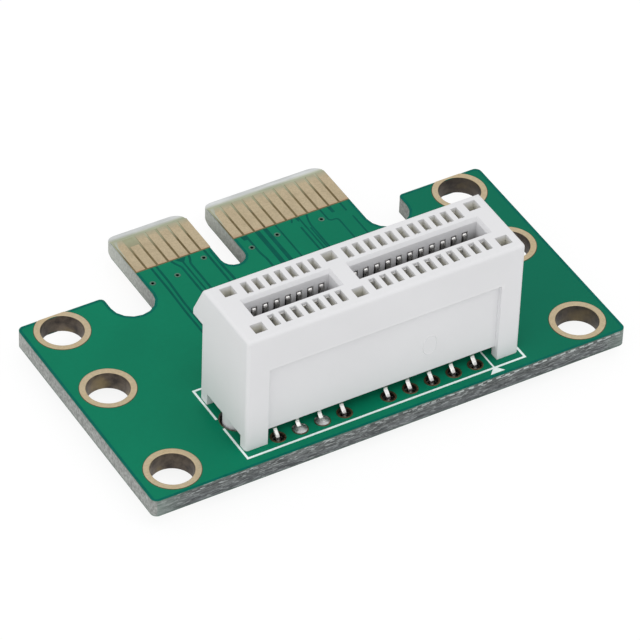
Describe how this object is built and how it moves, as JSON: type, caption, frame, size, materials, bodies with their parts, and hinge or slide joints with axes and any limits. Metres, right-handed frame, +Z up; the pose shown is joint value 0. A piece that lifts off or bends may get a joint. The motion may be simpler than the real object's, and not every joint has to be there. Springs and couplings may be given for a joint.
{
  "type": "pcie riser card",
  "caption": "Small green riser board with gold edge fingers, corner fixing holes and a pale upright card slot soldered through it.",
  "frame": {"origin": "middle of the rectangle of the four corner fixing holes, on the board's underside", "axes": "+X along the card slot towards pin 1, +Y across the board towards the edge fingers, +Z up out of the board through the slot connector"},
  "size_m": [0.043, 0.0298, 0.0139],
  "materials": {
    "laminate": "satin solder mask over glass fibre laminate",
    "housing_plastic": "matt moulded",
    "hole_plating": "satin gold-plated copper",
    "finger_gold": "satin gold plate",
    "contact_metal": "tin-plated strip",
    "solder": "bright solder"
  },
  "bodies": {
    "root": {"circuit_board": "laminate", "connector_housing": "housing_plastic", "fixing_hole_left_front": "hole_plating", "fixing_hole_left_middle": "hole_plating", "fixing_hole_left_rear": "hole_plating", "fixing_hole_right_front": "hole_plating", "fixing_hole_right_middle": "hole_plating", "fixing_hole_right_rear": "hole_plating", "long_fingers_top": "finger_gold", "short_fingers_top": "finger_gold", "long_fingers_under": "finger_gold", "short_fingers_under": "finger_gold", "contact_a01": "contact_metal", "contact_a02": "contact_metal", "contact_a03": "contact_metal", "contact_a04": "contact_metal", "contact_a05": "contact_metal", "contact_a06": "contact_metal", "contact_a07": "contact_metal", "contact_a08": "contact_metal", "contact_a09": "contact_metal", "contact_a10": "contact_metal", "contact_a11": "contact_metal", "contact_a12": "contact_metal", "contact_a13": "contact_metal", "contact_a14": "contact_metal", "contact_a15": "contact_metal", "contact_a16": "contact_metal", "contact_a17": "contact_metal", "contact_a18": "contact_metal", "contact_b01": "contact_metal", "contact_b02": "contact_metal", "contact_b03": "contact_metal", "contact_b04": "contact_metal", "contact_b05": "contact_metal", "contact_b06": "contact_metal", "contact_b07": "contact_metal", "contact_b08": "contact_metal", "contact_b09": "contact_metal", "contact_b10": "contact_metal", "contact_b11": "contact_metal", "contact_b12": "contact_metal", "contact_b13": "contact_metal", "contact_b14": "contact_metal", "contact_b15": "contact_metal", "contact_b16": "contact_metal", "contact_b17": "contact_metal", "contact_b18": "contact_metal", "solder_fillets": "solder", "solder_cones": "solder"}
  },
  "joints": []
}
